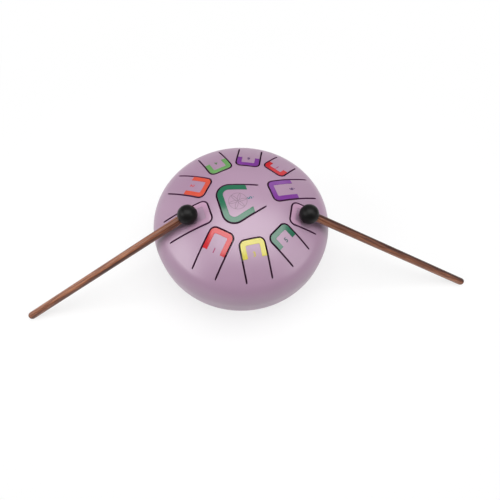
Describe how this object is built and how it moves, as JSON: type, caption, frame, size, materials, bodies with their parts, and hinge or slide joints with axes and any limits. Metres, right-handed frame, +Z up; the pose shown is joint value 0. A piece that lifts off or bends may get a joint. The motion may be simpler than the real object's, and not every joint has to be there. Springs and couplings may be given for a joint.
{
  "type": "steel tongue drum",
  "caption": "Round steel tongue drum with tongues cut in its domed top, coloured note bands, a sound hole below, rubber feet and rubber-headed wooden mallets.",
  "frame": {"origin": "on the drum's axis, on the plane of the feet, where the drum stands on a table", "axes": "+Z up along the drum's axis, +X to the player's right, -Y towards the player"},
  "size_m": [0.3982, 0.15, 0.0933],
  "materials": {
    "lavender_paint": "satin lavender paint on steel",
    "foot_rubber": "matt black rubber",
    "head_rubber": "satin black rubber",
    "stick_wood": "oiled reddish brown wood",
    "band_green": "gloss green film",
    "band_leaf": "gloss light green film",
    "band_purple": "gloss purple film",
    "band_red": "gloss red film",
    "band_pink": "gloss pink film",
    "band_yellow": "gloss yellow film",
    "band_orange": "gloss orange film"
  },
  "bodies": {
    "drum": {"top_shell": "lavender_paint", "bottom_shell": "lavender_paint", "foot_1": "foot_rubber", "foot_2": "foot_rubber", "foot_3": "foot_rubber"},
    "note_low_5": {"tongue_low_5": "lavender_paint", "band_low_5": "band_green"},
    "note_low_6": {"tongue_low_6": "lavender_paint", "band_low_6": "band_purple"},
    "note_low_7": {"tongue_low_7": "lavender_paint", "band_low_7": "band_pink"},
    "note_1": {"tongue_1": "lavender_paint", "band_1": "band_red"},
    "note_2": {"tongue_2": "lavender_paint", "band_2": "band_orange"},
    "note_3": {"tongue_3": "lavender_paint", "band_3": "band_yellow"},
    "note_4": {"tongue_4": "lavender_paint", "band_4": "band_leaf"},
    "note_5": {"tongue_5": "lavender_paint", "band_5": "band_green"},
    "note_6": {"tongue_6": "lavender_paint", "band_6": "band_purple"},
    "note_7": {"tongue_7": "lavender_paint", "band_7": "band_pink"},
    "note_high_1": {"tongue_high_1": "lavender_paint", "band_high_1": "band_red"},
    "left_mallet": {"left_mallet_stick": "stick_wood", "left_mallet_head": "head_rubber"},
    "right_mallet": {"right_mallet_stick": "stick_wood", "right_mallet_head": "head_rubber"}
  },
  "joints": [
    {"name": "tongue_low_5_swing", "type": "hinge", "parent": "drum", "child": "note_low_5", "pos_m": [0.01632, 0.00408, 0.08294], "axis": [-0.294, 0.9558, 0], "range_deg": [-0.5, 0.5], "stiffness_Nm_per_rad": 41.6},
    {"name": "tongue_low_6_swing", "type": "hinge", "parent": "drum", "child": "note_low_6", "pos_m": [0.05882, 0.02118, 0.06643], "axis": [-0.3387, 0.9409, 0], "range_deg": [-0.5, 0.5], "stiffness_Nm_per_rad": 36.8},
    {"name": "tongue_low_7_swing", "type": "hinge", "parent": "drum", "child": "note_low_7", "pos_m": [-0.05918, -0.02015, 0.06643], "axis": [0.3223, -0.9466, 0], "range_deg": [-0.5, 0.5], "stiffness_Nm_per_rad": 42.4},
    {"name": "tongue_1_swing", "type": "hinge", "parent": "drum", "child": "note_1", "pos_m": [-0.02867, -0.05555, 0.06643], "axis": [0.8886, -0.4587, 0], "range_deg": [-0.5, 0.5], "stiffness_Nm_per_rad": 36.7},
    {"name": "tongue_2_swing", "type": "hinge", "parent": "drum", "child": "note_2", "pos_m": [-0.05715, 0.02533, 0.06643], "axis": [-0.4051, -0.9143, 0], "range_deg": [-0.5, 0.5], "stiffness_Nm_per_rad": 44.6},
    {"name": "tongue_3_swing", "type": "hinge", "parent": "drum", "child": "note_3", "pos_m": [0.01364, -0.06101, 0.06643], "axis": [0.9759, 0.2181, 0], "range_deg": [-0.5, 0.5], "stiffness_Nm_per_rad": 39.2},
    {"name": "tongue_4_swing", "type": "hinge", "parent": "drum", "child": "note_4", "pos_m": [-0.02867, 0.05555, 0.06643], "axis": [-0.8886, -0.4587, 0], "range_deg": [-0.5, 0.5], "stiffness_Nm_per_rad": 40.9},
    {"name": "tongue_5_swing", "type": "hinge", "parent": "drum", "child": "note_5", "pos_m": [0.04616, -0.04215, 0.06643], "axis": [0.6743, 0.7385, 0], "range_deg": [-0.5, 0.5], "stiffness_Nm_per_rad": 40.9},
    {"name": "tongue_6_swing", "type": "hinge", "parent": "drum", "child": "note_6", "pos_m": [0.00827, 0.06197, 0.06643], "axis": [-0.9912, 0.1323, 0], "range_deg": [-0.5, 0.5], "stiffness_Nm_per_rad": 49.8},
    {"name": "tongue_7_swing", "type": "hinge", "parent": "drum", "child": "note_7", "pos_m": [0.06137, -0.01193, 0.06643], "axis": [0.1908, 0.9816, 0], "range_deg": [-0.5, 0.5], "stiffness_Nm_per_rad": 40.2},
    {"name": "tongue_high_1_swing", "type": "hinge", "parent": "drum", "child": "note_high_1", "pos_m": [0.03926, 0.04865, 0.06643], "axis": [-0.7782, 0.628, 0], "range_deg": [-0.5, 0.5], "stiffness_Nm_per_rad": 40.4},
    {"name": "left_mallet_stroke", "type": "hinge", "parent": "drum", "child": "left_mallet", "pos_m": [-0.18543, -0.06939, 0.00322], "axis": [0.3535, -0.9354, 0], "range_deg": [0, 50]},
    {"name": "right_mallet_stroke", "type": "hinge", "parent": "drum", "child": "right_mallet", "pos_m": [0.20684, -0.0394, 0.00323], "axis": [0.1771, 0.9842, 0], "range_deg": [0, 50]}
  ]
}
